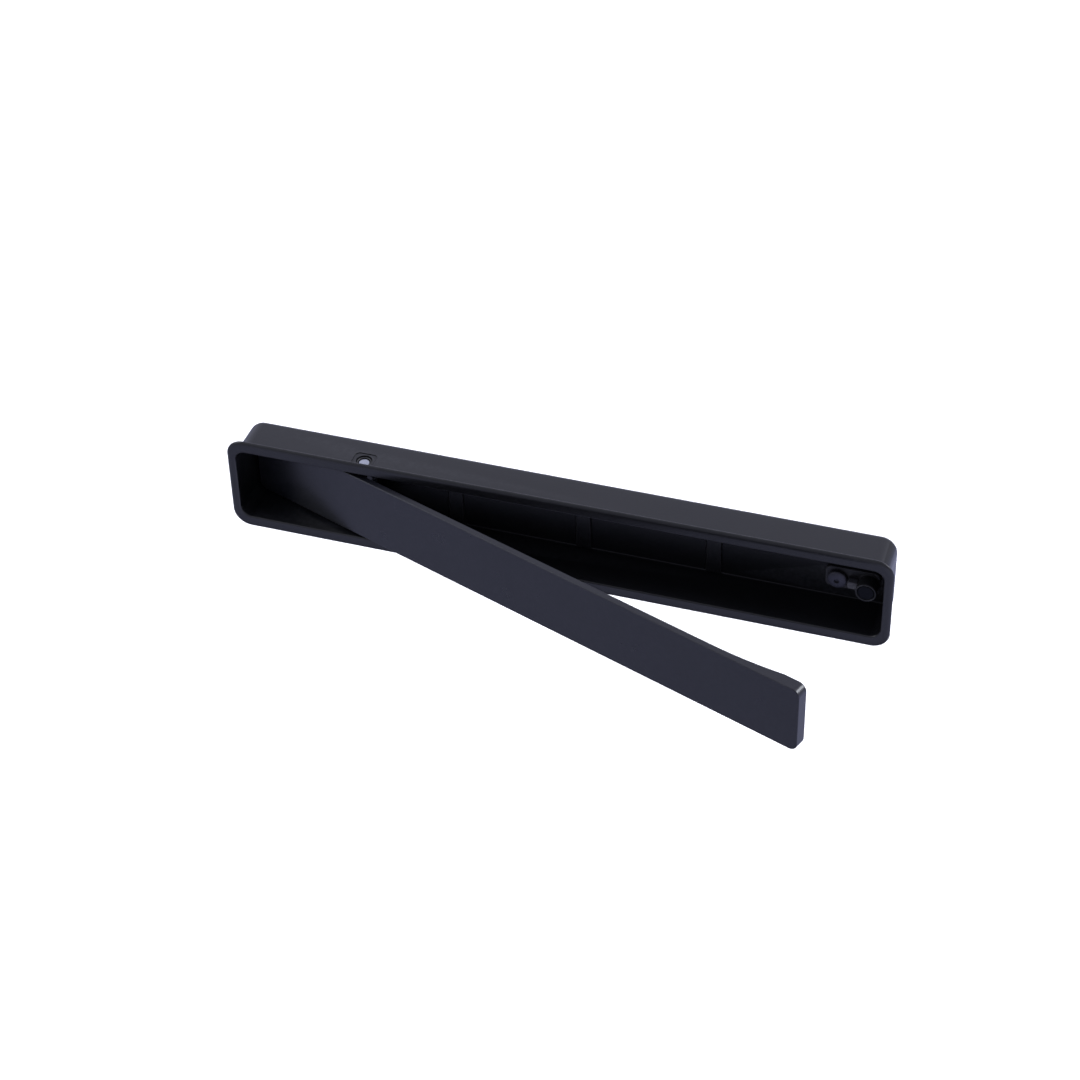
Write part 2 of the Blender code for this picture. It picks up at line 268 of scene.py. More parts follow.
def loft(name, sections, steps=arc_steps):
    """A closed solid through rounded rectangles, each (half_x, half_z, radius, y), capped at both ends."""
    bm = bmesh.new()
    rings = []
    for half_x, half_z, radius, y in sections:
        outline = rounded_rectangle(half_x, half_z, max(radius, 0.00002), steps)
        rings.append([bm.verts.new((x, y, z)) for x, z in outline])
    count = len(rings[0])
    for first, second in zip(rings, rings[1:]):
        for i in range(count):
            j = (i + 1) % count
            bm.faces.new((first[i], first[j], second[j], second[i]))
    bm.faces.new(rings[0])
    bm.faces.new(rings[-1])
    return closed_mesh(bm, name)


def quarter_round(start, end, bulge_first, steps=round_steps):
    """Points of a quarter arc between (inset, y) points. bulge_first: it leaves start along the inset."""
    points = []
    for step in range(steps + 1):
        angle = math.pi / 2 * step / steps
        along, across = math.sin(angle), 1 - math.cos(angle)
        share_inset, share_y = (along, across) if bulge_first else (across, along)
        inset = start[0] + (end[0] - start[0]) * share_inset
        y = start[1] + (end[1] - start[1]) * share_y
        points.append((inset, y))
    return points


def lathe(name, profile, steps=turn_steps, axis="Z"):
    """A closed solid turned from (radius, height) points; points at radius 0 close its ends."""
    bm = bmesh.new()
    rings = []
    for radius, height in profile:
        if radius == 0:
            rings.append([bm.verts.new((0, 0, height))])
            continue
        ring = []
        for i in range(steps):
            angle = 2 * math.pi * i / steps
            ring.append(bm.verts.new((radius * math.cos(angle), radius * math.sin(angle), height)))
        rings.append(ring)
    pairs = list(zip(rings, rings[1:]))
    if profile[0][0] != 0:
        pairs.append((rings[-1], rings[0]))
    for first, second in pairs:
        for i in range(steps):
            j = (i + 1) % steps
            corners = [first[i % len(first)], first[j % len(first)]]
            corners += [second[j % len(second)], second[i % len(second)]]
            bm.faces.new(list(dict.fromkeys(corners)))
    if axis == "Y":
        bmesh.ops.rotate(bm, cent=(0, 0, 0), matrix=Matrix.Rotation(-math.pi / 2, 3, "X"), verts=bm.verts)
    return closed_mesh(bm, name)


def moved(mesh, offset):
    mesh.transform(Matrix.Translation(offset))
    return mesh


# ---------------------------------------------------------------- finishes

def new_material(name):
    material = bpy.data.materials.new(name)
    material.use_nodes = True
    tree = material.node_tree
    shader = tree.nodes["Principled BSDF"]
    return material, tree, shader


def noise(tree, scale, detail=3.0, roughness=0.55, coordinates=None):
    node = tree.nodes.new("ShaderNodeTexNoise")
    node.inputs["Scale"].default_value = scale
    node.inputs["Detail"].default_value = detail
    node.inputs["Roughness"].default_value = roughness
    if coordinates:
        tree.links.new(coordinates, node.inputs["Vector"])
    return node


def object_coordinates(tree, stretch=(1, 1, 1)):
    """Coordinates in metres on the piece itself, stretched to draw grain along one way."""
    source = tree.nodes.new("ShaderNodeTexCoord")
    mapping = tree.nodes.new("ShaderNodeMapping")
    mapping.inputs["Scale"].default_value = stretch
    tree.links.new(source.outputs["Object"], mapping.inputs["Vector"])
    return mapping.outputs["Vector"]


def remap(tree, value, low, high, from_low=0.3, from_high=0.7):
    node = tree.nodes.new("ShaderNodeMapRange")
    node.inputs["From Min"].default_value = from_low
    node.inputs["From Max"].default_value = from_high
    node.inputs["To Min"].default_value = low
    node.inputs["To Max"].default_value = high
    tree.links.new(value, node.inputs["Value"])
    return node.outputs["Result"]


def blend_colours(tree, factor, first, second):
    """Mixes two colours; each is a colour tuple or another node's output."""
    node = tree.nodes.new("ShaderNodeMix")
    node.data_type = "RGBA"
    tree.links.new(factor, node.inputs["Factor"])
    for socket, colour in ((node.inputs["A"], first), (node.inputs["B"], second)):
        if isinstance(colour, tuple):
            socket.default_value = (*colour, 1)
        else:
            tree.links.new(colour, socket)
    return node.outputs["Result"]


def multiply(tree, first, second):
    node = tree.nodes.new("ShaderNodeMath")
    node.operation = "MULTIPLY"
    tree.links.new(first, node.inputs[0])
    if isinstance(second, float):
        node.inputs[1].default_value = second
    else:
        tree.links.new(second, node.inputs[1])
    return node.outputs["Value"]


def edge_mask(tree, low=0.505, high=0.56):
    """White along convex edges, broken up by noise."""
    geometry = tree.nodes.new("ShaderNodeNewGeometry")
    edges = remap(tree, geometry.outputs["Pointiness"], 0.0, 1.0, low, high)
    patches = noise(tree, 900, 4.0, 0.6, object_coordinates(tree))
    return multiply(tree, edges, remap(tree, patches.outputs["Fac"], 0.3, 1.0, 0.4, 0.6))


def add_bump(tree, shader, layers):
    """Chains bump layers, each (noise output, strength, depth in metres)."""
    last = None
    for height, strength, depth in layers:
        bump = tree.nodes.new("ShaderNodeBump")
        bump.inputs["Strength"].default_value = strength
        bump.inputs["Distance"].default_value = depth
        tree.links.new(height, bump.inputs["Height"])
        if last:
            tree.links.new(last, bump.inputs["Normal"])
        last = bump.outputs["Normal"]
    tree.links.new(last, shader.inputs["Normal"])


def painted_metal(name, colour, thin_paint_and_highlight, rough_low, rough_high):
    """Satin stove enamel on a casting: faint mottling, orange peel, and convex edges painted paler, partly as
    thin paint and partly as a painted highlight.
    """
    material, tree, shader = new_material(name)
    here = object_coordinates(tree)
    mottle = noise(tree, 60, 3.0, 0.5, here)
    dark = tuple(c * 0.9 for c in colour)
    light = tuple(c * 1.1 for c in colour)
    base = blend_colours(tree, remap(tree, mottle.outputs["Fac"], 0.0, 1.0), dark, light)
    # Convex edges blend towards a paler colour: partly thin paint, partly a painted highlight along the
    # edges.
    tree.links.new(blend_colours(tree, edge_mask(tree), base, thin_paint_and_highlight), shader.inputs["Base Color"])
    sheen_patches = noise(tree, 140, 4.0, 0.6, here)
    tree.links.new(
        remap(tree, sheen_patches.outputs["Fac"], rough_low, rough_high),
        shader.inputs["Roughness"],
    )
    peel = noise(tree, 1400, 2.0, 0.5, here)
    grit = noise(tree, 5200, 2.0, 0.6, here)
    add_bump(tree, shader, [(peel.outputs["Fac"], 0.25, 0.00004), (grit.outputs["Fac"], 0.18, 0.00001)])
    shader.inputs["IOR"].default_value = 1.5
    shader.inputs["Coat Weight"].default_value = 0.0
    return material


def within(tree, value, limit, blur):
    """1 where a coordinate lies between -limit and +limit, fading to 0 over blur."""
    size = tree.nodes.new("ShaderNodeMath")
    size.operation = "ABSOLUTE"
    tree.links.new(value, size.inputs[0])
    return remap(tree, size.outputs["Value"], 1.0, 0.0, limit, limit + blur)


def dull_recess(material):
    """Makes the paint duller inside the tray, where the spray reaches less."""
    tree = material.node_tree
    shader = tree.nodes["Principled BSDF"]
    axes = tree.nodes.new("ShaderNodeSeparateXYZ")
    tree.links.new(object_coordinates(tree), axes.inputs["Vector"])
    past_mouth = remap(tree, axes.outputs["Y"], 0.0, 1.0, front_y + mouth_round, front_y + 0.0025)
    before_rear = remap(tree, axes.outputs["Y"], 1.0, 0.0, -0.0006, -0.0003)
    inside = multiply(tree, past_mouth, before_rear)
    inside = multiply(tree, inside, within(tree, axes.outputs["X"], opening_half_length + 0.0002, 0.0002))
    inside = multiply(tree, inside, within(tree, axes.outputs["Z"], opening_half_height + 0.0002, 0.0002))
    gloss = remap(tree, inside, open_gloss, recess_gloss, 0.0, 1.0)
    tree.links.new(gloss, shader.inputs["Specular IOR Level"])


def turned_steel(name, colour, rough_low, rough_high, stretch):
    """Ground or turned steel with fine lines and a few dull spots."""
    material, tree, shader = new_material(name)
    lines = noise(tree, 600, 4.0, 0.6, object_coordinates(tree, stretch))
    spots = noise(tree, 1500, 3.0, 0.6, object_coordinates(tree))
    dark = tuple(c * 0.78 for c in colour)
    base = blend_colours(tree, remap(tree, lines.outputs["Fac"], 0.0, 1.0), dark, colour)
    duller = tuple(c * 0.6 for c in colour)
    spotted = blend_colours(tree, remap(tree, spots.outputs["Fac"], 0.0, 0.5, 0.55, 0.75), base, duller)
    tree.links.new(spotted, shader.inputs["Base Color"])
    tree.links.new(remap(tree, lines.outputs["Fac"], rough_low, rough_high), shader.inputs["Roughness"])
    add_bump(tree, shader, [(lines.outputs["Fac"], 0.25, 0.00001)])
    shader.inputs["Metallic"].default_value = 1.0
    return material


def moulded(name, colour, rough_low, rough_high, grain_scale=4200):
    """Moulded plastic with a fine spark-eroded grain."""
    material, tree, shader = new_material(name)
    here = object_coordinates(tree)
    cloud = noise(tree, 250, 3.0, 0.5, here)
    dark = tuple(c * 0.85 for c in colour)
    light = tuple(c * 1.15 for c in colour)
    base = blend_colours(tree, remap(tree, cloud.outputs["Fac"], 0.0, 1.0), dark, light)
    rubbed = tuple(c * 1.9 for c in colour)
    tree.links.new(blend_colours(tree, edge_mask(tree), base, rubbed), shader.inputs["Base Color"])
    tree.links.new(remap(tree, cloud.outputs["Fac"], rough_low, rough_high), shader.inputs["Roughness"])
    grain = noise(tree, grain_scale, 2.0, 0.6, here)
    add_bump(tree, shader, [(grain.outputs["Fac"], 0.3, 0.000012)])
    return material


def moulded_bracket(name, colour, web_colour, rough_low, rough_high):
    """Moulded plastic whose raised web, between the screw and the cup, is paler."""
    material = moulded(name, colour, rough_low, rough_high)
    tree = material.node_tree
    shader = tree.nodes["Principled BSDF"]
    plain = shader.inputs["Base Color"].links[0].from_socket
    axes = tree.nodes.new("ShaderNodeSeparateXYZ")
    tree.links.new(object_coordinates(tree), axes.inputs["Vector"])
    web_y = front_y + bracket_front_depth - web_rise / 2
    raised = remap(tree, axes.outputs["Y"], 1.0, 0.0, web_y, web_y + web_rise / 4)
    cup_edge = magnet_x - cup_radius
    beside_cup = remap(tree, axes.outputs["X"], 1.0, 0.0, cup_edge - 0.0001, cup_edge)
    tree.links.new(blend_colours(tree, multiply(tree, raised, beside_cup), plain, web_colour),
                   shader.inputs["Base Color"])
    return material


# ---------------------------------------------------------------- tray

def tray_sections():
    """The tray from its rear face, round its body and flange, over the lip and down to the cavity's floor."""
    sections = []

    def outer(inset, y, corner=body_corner_radius):
        sections.append((body_half_length - inset, body_half_height - inset, corner - inset, y))

    def flange(inset, y):
        sections.append((
            flange_half_length - inset,
            flange_half_height - inset,
            flange_corner_radius - inset,
            y,
        ))

    def inner(inset, y):
        sections.append((
            opening_half_length - inset,
            opening_half_height - inset,
            max(cavity_corner_radius - inset, 0.0003),
            y,
        ))

    rear = body_rear_round
    for inset, y in quarter_round((rear, 0.0), (body_draft, -rear), True, 8):
        outer(inset, y)
    seat_y = front_y + flange_thickness
    for inset, y in quarter_round((0.0, seat_y + root_round), (-root_round, seat_y), False, 4):
        outer(inset, y)
    back = flange_back_round
    for inset, y in quarter_round((back, seat_y), (0.0, seat_y - back), True, 3):
        flange(inset, y)
    rim_end = (flange_edge_width, front_y)
    for inset, y in quarter_round((0.0, front_y + flange_edge_depth), rim_end, False, 10):
        flange(inset, y)
    for inset, y in quarter_round((-mouth_round, front_y), (0.0, front_y + mouth_round), True, 6):
        inner(inset, y)
    floor_y = front_y + cavity_depth
    low = cavity_floor_round
    for inset, y in quarter_round((body_draft, floor_y - low), (low, floor_y), False, 7):
        inner(inset, y)
    return sections


def add_ribs(tray):
    """Three low ribs across the floor with rounded tops."""
    floor_y = front_y + cavity_depth
    reach = opening_half_height - cavity_floor_round * 0.6
    for index in (-1, 0, 1):
        sections = [(rib_width / 2 + rib_round, reach, 0.0001, floor_y + back_wall / 2)]
        sections.append((rib_width / 2 + rib_round, reach, 0.0001, floor_y))
        top = floor_y - rib_rise
        for inset, y in quarter_round((0.0, top + rib_round), (rib_round, top), False, 4):
            sections.append((rib_width / 2 - inset, reach - inset, 0.0001, y))
        rib = moved(loft("rib", sections, 2), (rib_middle_x + index * rib_pitch, 0, 0))
        tray = boolean(tray, rib, "UNION")
    return tray


def add_bosses(tray):
    """The two round bosses that carry the bracket."""
    floor_y = front_y + cavity_depth
    for x in (screw_x, magnet_x):
        profile = [(0, floor_y + back_wall / 2), (boss_radius + boss_round, floor_y + back_wall / 2)]
        for inset, y in quarter_round((-boss_round, floor_y), (0.0, floor_y - boss_round), True, 4):
            profile.append((boss_radius - inset, y))
        top = floor_y - boss_rise
        for inset, y in quarter_round((0.0, top + boss_round), (boss_round, top), False, 4):
            profile.append((boss_radius - inset, y))
        profile.append((0, top))
        boss = moved(lathe("boss", profile, 40, "Y"), (x, 0, 0))
        tray = boolean(tray, boss, "UNION")
    return tray


def bush_seat(side):
    """Cutter for one wall: the bush's hole, and the shallow pocket with softened mouth round it."""
    sections = []
    mouth = pocket_mouth_round
    surface = body_half_height
    size = (pocket_length / 2, pocket_width / 2)
    sections.append((size[0], size[1], pocket_corner_radius, surface - pocket_sink))
    sections.append((size[0], size[1], pocket_corner_radius, surface - mouth))
    for inset, y in quarter_round((0.0, surface - mouth), (-mouth, surface), False, 4):
        sections.append((size[0] - inset, size[1] - inset, pocket_corner_radius - inset, y))
    grown = pocket_mouth_round
    sections.append((size[0] + grown, size[1] + grown, pocket_corner_radius + grown, surface + overlap))
    pocket = loft("pocket", sections, 8)
    pocket.transform(Matrix.Rotation(math.pi / 2 * side, 4, "X"))
    hole = lathe("hole", [(0, surface - 2 * side_wall), (seat_radius, surface - 2 * side_wall),
                          (seat_radius, surface + overlap), (0, surface + overlap)], 48)
    if side < 0:
        hole.transform(Matrix.Rotation(math.pi, 4, "X"))
    return [moved(mesh, (pivot.x, pivot.y, 0)) for mesh in (pocket, hole)]


def make_tray(paint):
    """The cast tray, standing for the CAD housing."""
    tray = loft("tray", tray_sections())
    tray = add_ribs(tray)
    tray = add_bosses(tray)
    for side in (1, -1):
        for cutter in bush_seat(side):
            tray = boolean(tray, cutter, "DIFFERENCE")
    for index in (-1, 0, 1):
        mark = lathe("ejector_mark", [(0, -ejector_sink), (ejector_radius, -ejector_sink),
                                      (ejector_radius, overlap), (0, overlap)], 40, "Y")
        tray = boolean(tray, moved(mark, (index * ejector_pitch, 0, 0)), "DIFFERENCE")
    shade(tray)
    shell = place("tray_casting", tray, "housing", paint, ("housing",))
    even_normals(shell)
    return shell


# ---------------------------------------------------------------- lever

def lever_depth(x):
    """Depth of the lever's back behind its front, at x along it from the pivot."""
    taper = (x + lever_short_reach) / short_end_taper
    if taper < 1:
        return short_end_thickness + (lever_thickness - short_end_thickness) * max(taper, 0)
    share = (x - lever_long_reach + tip_land + tip_ramp) / tip_ramp
    share = min(max(share, 0), 1)
    return lever_thickness + (tip_thickness - lever_thickness) * share * share


def lever_stations():
    """Places along the lever's straight edges where its back changes slope."""
    taper_end = -lever_short_reach + short_end_taper
    ramp_end = lever_long_reach - tip_land
    ramp_start = ramp_end - tip_ramp
    stations = [-lever_short_reach + 0.005, taper_end, 0.0, ramp_start - 0.06, ramp_start - 0.02]
    stations += [ramp_start + tip_ramp * step / 14 for step in range(15)]
    stations += [ramp_end + 0.0015, ramp_end + 0.003]
    return stations


def lever_side(inset):
    """The upper edge of the lever from its short end to its tip: (x, z) with rounded corners."""
    radius = lever_corner_radius
    centre_z = lever_half_height - radius
    side = []
    for step in range(arc_steps + 1):
        angle = math.pi - math.pi / 2 * step / arc_steps
        x = -lever_short_reach + radius + (radius - inset) * math.cos(angle)
        side.append((x, centre_z + (radius - inset) * math.sin(angle)))
    side += [(x, lever_half_height - inset) for x in lever_stations()]
    for step in range(arc_steps + 1):
        angle = math.pi / 2 - math.pi / 2 * step / arc_steps
        x = lever_long_reach - radius + (radius - inset) * math.cos(angle)
        side.append((x, centre_z + (radius - inset) * math.sin(angle)))
    return side


def lever_plate():
    """The lever without its barrel: level front, rounded edges, thin short end and thick tip."""
    bm = bmesh.new()
    front, back = lever_front_round, lever_back_round
    rings = []
    for inset, depth in quarter_round((front, 0.0), (0.0, front), True, 5):
        rings.append([(x, depth, z) for x, z in lever_side(inset)])
    for inset, lift in quarter_round((0.0, back), (back, 0.0), False, 5):
        rings.append([(x, lever_depth(x) - lift, z) for x, z in lever_side(inset)])
    loops = []
    for ring in rings:
        upper = [bm.verts.new((x, depth - pivot_depth, z)) for x, depth, z in ring]
        lower = [bm.verts.new((x, depth - pivot_depth, -z)) for x, depth, z in ring]
        loops.append(upper + lower[::-1])
    count = len(loops[0])
    for first, second in zip(loops, loops[1:]):
        for i in range(count):
            j = (i + 1) % count
            bm.faces.new((first[i], first[j], second[j], second[i]))
    half = count // 2
    for loop in (loops[0], loops[-1]):
        for i in range(half - 1):
            bm.faces.new((loop[i], loop[i + 1], loop[count - 2 - i], loop[count - 1 - i]))
    return closed_mesh(bm, "lever_plate")


def barrel_outline(shrink):
    """The barrel seen along the pin, with the fillets that run into the lever's back."""
    radius = barrel_radius - shrink
    fillet = barrel_fillet + shrink
    fillet_y = lever_thickness + barrel_fillet - pivot_depth
    fillet_x = math.sqrt((barrel_radius + barrel_fillet) ** 2 - fillet_y ** 2)
    lean = math.atan2(-fillet_y, fillet_x)
    inside = lever_thickness / 2 - pivot_depth
    points = [(-fillet_x, inside)]
    for step in range(9):
        angle = -math.pi / 2 + (lean + math.pi / 2) * step / 8
        points.append((-fillet_x + fillet * math.cos(angle), fillet_y + fillet * math.sin(angle)))
    for step in range(1, 40):
        angle = math.pi + lean - (math.pi + 2 * lean) * step / 40
        points.append((radius * math.cos(angle), radius * math.sin(angle)))
    mirrored = [(-x, y) for x, y in points[:10]]
    return points + mirrored[::-1]


def barrel_solid():
    """The barrel as a prism across the lever with softened ends."""
    bm = bmesh.new()
    soft = 0.00025
    low = -lever_half_height
    levels = [(low, soft), (low + soft / 3, soft / 3), (low + soft, 0.0)]
    levels += [(-z, shrink) for z, shrink in reversed(levels)]
    loops = [[bm.verts.new((x, y, z)) for x, y in barrel_outline(shrink)] for z, shrink in levels]
    count = len(loops[0])
    for first, second in zip(loops, loops[1:]):
        for i in range(count):
            j = (i + 1) % count
            bm.faces.new((first[i], first[j], second[j], second[i]))
    bm.faces.new(loops[0])
    bm.faces.new(loops[-1])
    return closed_mesh(bm, "barrel")


def make_lever(paint):
    """The flip lever, standing for the CAD one, at rest: turned out by its whole range."""
    lever = boolean(lever_plate(), barrel_solid(), "UNION")
    bore = lathe("bore", [(0, -lever_half_height - overlap), (bore_radius, -lever_half_height - overlap),
                          (bore_radius, lever_half_height + overlap), (0, lever_half_height + overlap)], 48)
    lever = boolean(lever, bore, "DIFFERENCE")
    floor_y = tip_thickness - pivot_depth - strike_thickness - strike_gap
    soft = 0.0002
    top_y = tip_thickness - pivot_depth
    radius = strike_pocket_radius
    profile = [
        (0, floor_y), (radius, floor_y), (radius, top_y - soft),
        (radius + soft, top_y), (radius + soft, top_y + overlap), (0, top_y + overlap),
    ]
    pocket = lathe("pocket", profile, 48, "Y")
    lever = boolean(lever, moved(pocket, (magnet_x - pivot.x, 0, 0)), "DIFFERENCE")
    shade(lever)
    place_matrix = Matrix.Translation(pivot) @ Matrix.Rotation(-open_angle, 4, "Z")
    piece = place("lever_casting", lever, "lever", paint, ("flip_lever",), place_matrix)
    even_normals(piece)
    return piece


def make_strike_disc(steel):
    radius, thick, soft = strike_radius, strike_thickness, 0.00015
    profile = [(0, 0), (radius - soft, 0), (radius, soft), (radius, thick - soft)]
    profile += [(radius - soft * 0.3, thick - soft * 0.3), (radius - soft, thick)]
    profile += [(0.0007, thick), (0.0005, thick - 0.0001), (0, thick - 0.0002)]
    disc = lathe("disc", profile, 56, "Y")
    moved(disc, (magnet_x - pivot.x, tip_thickness - pivot_depth - strike_thickness, 0))
    shade(disc)
    place_matrix = Matrix.Translation(pivot) @ Matrix.Rotation(-open_angle, 4, "Z")
    return place("strike_plate", disc, "lever", steel, ("strike_disc",), place_matrix)


# ---------------------------------------------------------------- pivot

def make_pin(steel):
    """The pivot pin with rounded ends and a shallow turning mark in each."""
    half, radius, soft = pin_half_length, pin_radius, 0.0003
    rim = []
    for inset, z in quarter_round((soft, half), (0.0, half - soft), True, 5):
        rim.append((radius - inset, z))
    upper = [(0, half - 0.00008), (0.0004, half - 0.00005), (0.0006, half)] + rim
    lower = [(r, -z) for r, z in reversed(upper)]
    pin = lathe("pin", upper + lower, turn_steps)
    shade(pin, 40)
    return place("steel_pin", pin, "lever", steel, ("pivot_pin",), Matrix.Translation(pivot))


def make_bushes(nylon):
    """The flanged bushes, with chamfered edges and a lead-in at the bore."""
    bore = pin_radius + clearance
    spigot = seat_radius - clearance
    flange_radius = (bush_high.x - bush_low.x) / 2
    foot, head = bush_low.z, bush_high.z
    flange_head = opening_half_height - bush_side_gap
    soft = 0.00012
    profile = [
        (bore, foot + soft), (bore + soft, foot),
        (flange_radius - soft, foot), (flange_radius, foot + soft),
        (flange_radius, flange_head - soft), (flange_radius - soft, flange_head),
        (spigot + soft, flange_head), (spigot, flange_head + soft),
        (spigot, head - soft), (spigot - soft, head),
        (bore + soft, head), (bore, head - soft),
    ]
    for label, turn in (("upper", 0.0), ("lower", math.pi)):
        bush = lathe(f"{label}_sleeve", profile, 56)
        bush.transform(Matrix.Rotation(turn, 4, "X"))
        shade(bush)
        replaced = (f"{label}_bush",)
        place(f"{label}_sleeve", bush, "housing", nylon, replaced, Matrix.Translation(pivot))


# ---------------------------------------------------------------- catch

def block(name, low_x, high_x, half_z, front_depth, back_depth, corner, soft):
    """A block with rounded corners seen from the front, and softened front edges."""
    half_x = (high_x - low_x) / 2
    sections = [(half_x, half_z, corner, front_y + back_depth)]
    for inset, depth in quarter_round((0.0, front_depth + soft), (soft, front_depth), False, 4):
        sections.append((half_x - inset, half_z - inset, corner - inset, front_y + depth))
    return moved(loft(name, sections, 7), ((low_x + high_x) / 2, 0, 0))


def make_bracket(plastic):
    """The moulded bracket: plate, screw way, web, and the magnet's cup with its rounded lip."""
    plate = block(
        "plate", screw_x - bracket_half_width, magnet_x + cup_radius, bracket_half_width,
        bracket_front_depth, bracket_back_depth, bracket_half_width / 2, 0.0003,
    )
    web_start = screw_x + screw_head_radius + seat_gap
    web = block(
        "web", web_start, magnet_x - cup_radius / 2, web_half_width,
        bracket_front_depth - web_rise, bracket_front_depth + 0.0007, 0.0005, 0.00025,
    )
    top, base = front_y + cup_top_depth, front_y + bracket_back_depth - 0.0007
    soft = 0.0002
    profile = [(0, top)]
    for inset, y in quarter_round((soft, top), (0.0, top + soft), True, 4):
        profile.append((cup_radius - inset, y))
    profile += [(cup_radius, front_y + bracket_front_depth - 0.0004)]
    profile += [(cup_radius + 0.00035, front_y + bracket_front_depth + 0.0001)]
    profile += [(cup_radius - 0.0004, base), (0, base)]
    cup = moved(lathe("cup", profile, 56, "Y"), (magnet_x, 0, 0))
    seat_low = magnet_high.y + seat_gap
    bore = magnet_radius + clearance
    seat = lathe("seat", [(0, top - overlap), (bore + 0.0001, top - overlap), (bore + 0.0001, top),
                          (bore, top + 0.0001), (bore, seat_low), (0, seat_low)], 48, "Y")
    way_radius = screw_way_radius
    way_front = front_y + bracket_front_depth
    way = lathe("way", [(0, way_front - overlap), (way_radius + 0.0004, way_front - overlap),
                        (way_radius + 0.0002, way_front), (way_radius, way_front + 0.0002),
                        (way_radius, way_front + 2 * overlap), (0, way_front + 2 * overlap)], 40, "Y")
    bracket = boolean(plate, web, "UNION")
    bracket = boolean(bracket, cup, "UNION")
    bracket = boolean(bracket, moved(seat, (magnet_x, 0, 0)), "DIFFERENCE")
    bracket = boolean(bracket, moved(way, (screw_x, 0, 0)), "DIFFERENCE")
    shade(bracket)
    piece = place("catch_bracket", bracket, "housing", plastic, ("magnet_bracket",))
    even_normals(piece)
    return piece


def make_magnet(nickel):
    soft = 0.00022
    front, back = magnet_low.y, magnet_high.y
    profile = [(0, front)]
    for inset, y in quarter_round((soft, front), (0.0, front + soft), True, 4):
        profile.append((magnet_radius - inset, y))
    for inset, y in quarter_round((0.0, back - soft), (soft, back), False, 4):
        profile.append((magnet_radius - inset, y))
    profile.append((0, back))
    magnet = moved(lathe("magnet", profile, 56, "Y"), (magnet_x, 0, 0))
    shade(magnet)
    return place("plated_magnet", magnet, "housing", nickel, ("catch_magnet",))


def make_screw(metal):
    """The domed socket screw, with thread rings on its shank."""
    seat_y = front_y + bracket_front_depth - seat_gap
    top_y, end_y = screw_low.y, screw_high.y
    head = seat_y - top_y
    shank, pitch, groove = screw_shank_radius, thread_pitch, thread_groove
    profile = []
    for step in range(13):
        turn = math.pi / 2 * step / 12
        rise = 0.45 + 0.55 * math.cos(turn)
        profile.append((screw_head_radius * math.sin(turn), seat_y - head * rise))
    profile += [(screw_head_radius, seat_y - 0.0001), (screw_head_radius - 0.0001, seat_y), (shank, seat_y)]
    y = seat_y + 0.001
    while y < end_y - pitch:
        profile += [(shank, y), (shank - groove, y + pitch / 2)]
        y += pitch
    profile += [(shank - groove, end_y - 0.0002), (shank - 2 * groove, end_y), (0, end_y)]
    screw = lathe("screw", profile, 56, "Y")
    across, mouth = socket_radius, socket_radius * 1.25
    profile = [
        (0, top_y + socket_sink), (across * 0.9, top_y + socket_sink - 0.0001), (across, top_y + 0.0001),
        (mouth, top_y - 0.0001), (mouth, top_y - overlap), (0, top_y - overlap),
    ]
    socket = lathe("socket", profile, 6, "Y")
    screw = boolean(screw, socket, "DIFFERENCE")
    moved(screw, (screw_x, 0, 0))
    shade(screw)
    return place("socket_screw", screw, "housing", metal, ("bracket_screw",))


# ---------------------------------------------------------------- studio

def camera_matrix():
    """Where the photograph was taken from."""
    back = Vector((
        math.sin(view_azimuth) * math.cos(view_elevation),
        -math.cos(view_azimuth) * math.cos(view_elevation),
        math.sin(view_elevation),
    ))
    level = Vector((0, 0, 1)).cross(back).normalized()
    upright = back.cross(level)
    right = math.cos(view_roll) * level + math.sin(view_roll) * upright
    up = -math.sin(view_roll) * level + math.cos(view_roll) * upright
    turned = Matrix((right, up, back)).transposed().to_4x4()
    return Matrix.Translation(view_target + back * view_distance) @ turned


def make_camera():
    camera = bpy.data.cameras.new("camera")
    camera.lens = lens_mm
    camera.sensor_width = sensor_mm
    camera.clip_start = 0.01
    camera.clip_end = 50
    obj = bpy.data.objects.new("camera", camera)
    bpy.context.scene.collection.objects.link(obj)
    obj.matrix_world = camera_matrix()
    bpy.context.scene.camera = obj


def make_floor():
    """A pale matt floor well below the handle, so that no shadow falls in the picture."""
    half = floor_half
    z = -flange_half_height - floor_drop
    mesh = bpy.data.meshes.new("floor")
    corners = [(-half, -half, z), (half, -half, z), (half, half, z), (-half, half, z)]
    mesh.from_pydata(corners, [], [(0, 1, 2, 3)])
    floor = bpy.data.objects.new("floor", mesh)
    bpy.context.scene.collection.objects.link(floor)
    material, tree, shader = new_material("floor")
    cloud = noise(tree, 6, 2.0, 0.5, object_coordinates(tree))
    pale = blend_colours(tree, remap(tree, cloud.outputs["Fac"], 0.0, 1.0), floor_dark, floor_light)
    tree.links.new(pale, shader.inputs["Base Color"])
    shader.inputs["Roughness"].default_value = 0.9
    shader.inputs["Specular IOR Level"].default_value = 0.0
    mesh.materials.append(material)
    floor.visible_glossy = False


def make_backdrop():
    """A white dome round the floor that only the camera sees, for views near the horizon."""
    bm = bmesh.new()
    bmesh.ops.create_icosphere(bm, subdivisions=4, radius=backdrop_radius)
    mesh = closed_mesh(bm, "backdrop")
    mesh.shade_smooth()
    backdrop = bpy.data.objects.new("backdrop", mesh)
    bpy.context.scene.collection.objects.link(backdrop)
    material, tree, shader = new_material("backdrop")
    shader.inputs["Base Color"].default_value = (0, 0, 0, 1)
    shader.inputs["Specular IOR Level"].default_value = 0.0
    shader.inputs["Emission Color"].default_value = (1, 1, 1, 1)
    shader.inputs["Emission Strength"].default_value = 0.98
    mesh.materials.append(material)
    for kind in ("diffuse", "glossy", "transmission", "shadow", "volume_scatter"):
        setattr(backdrop, f"visible_{kind}", False)


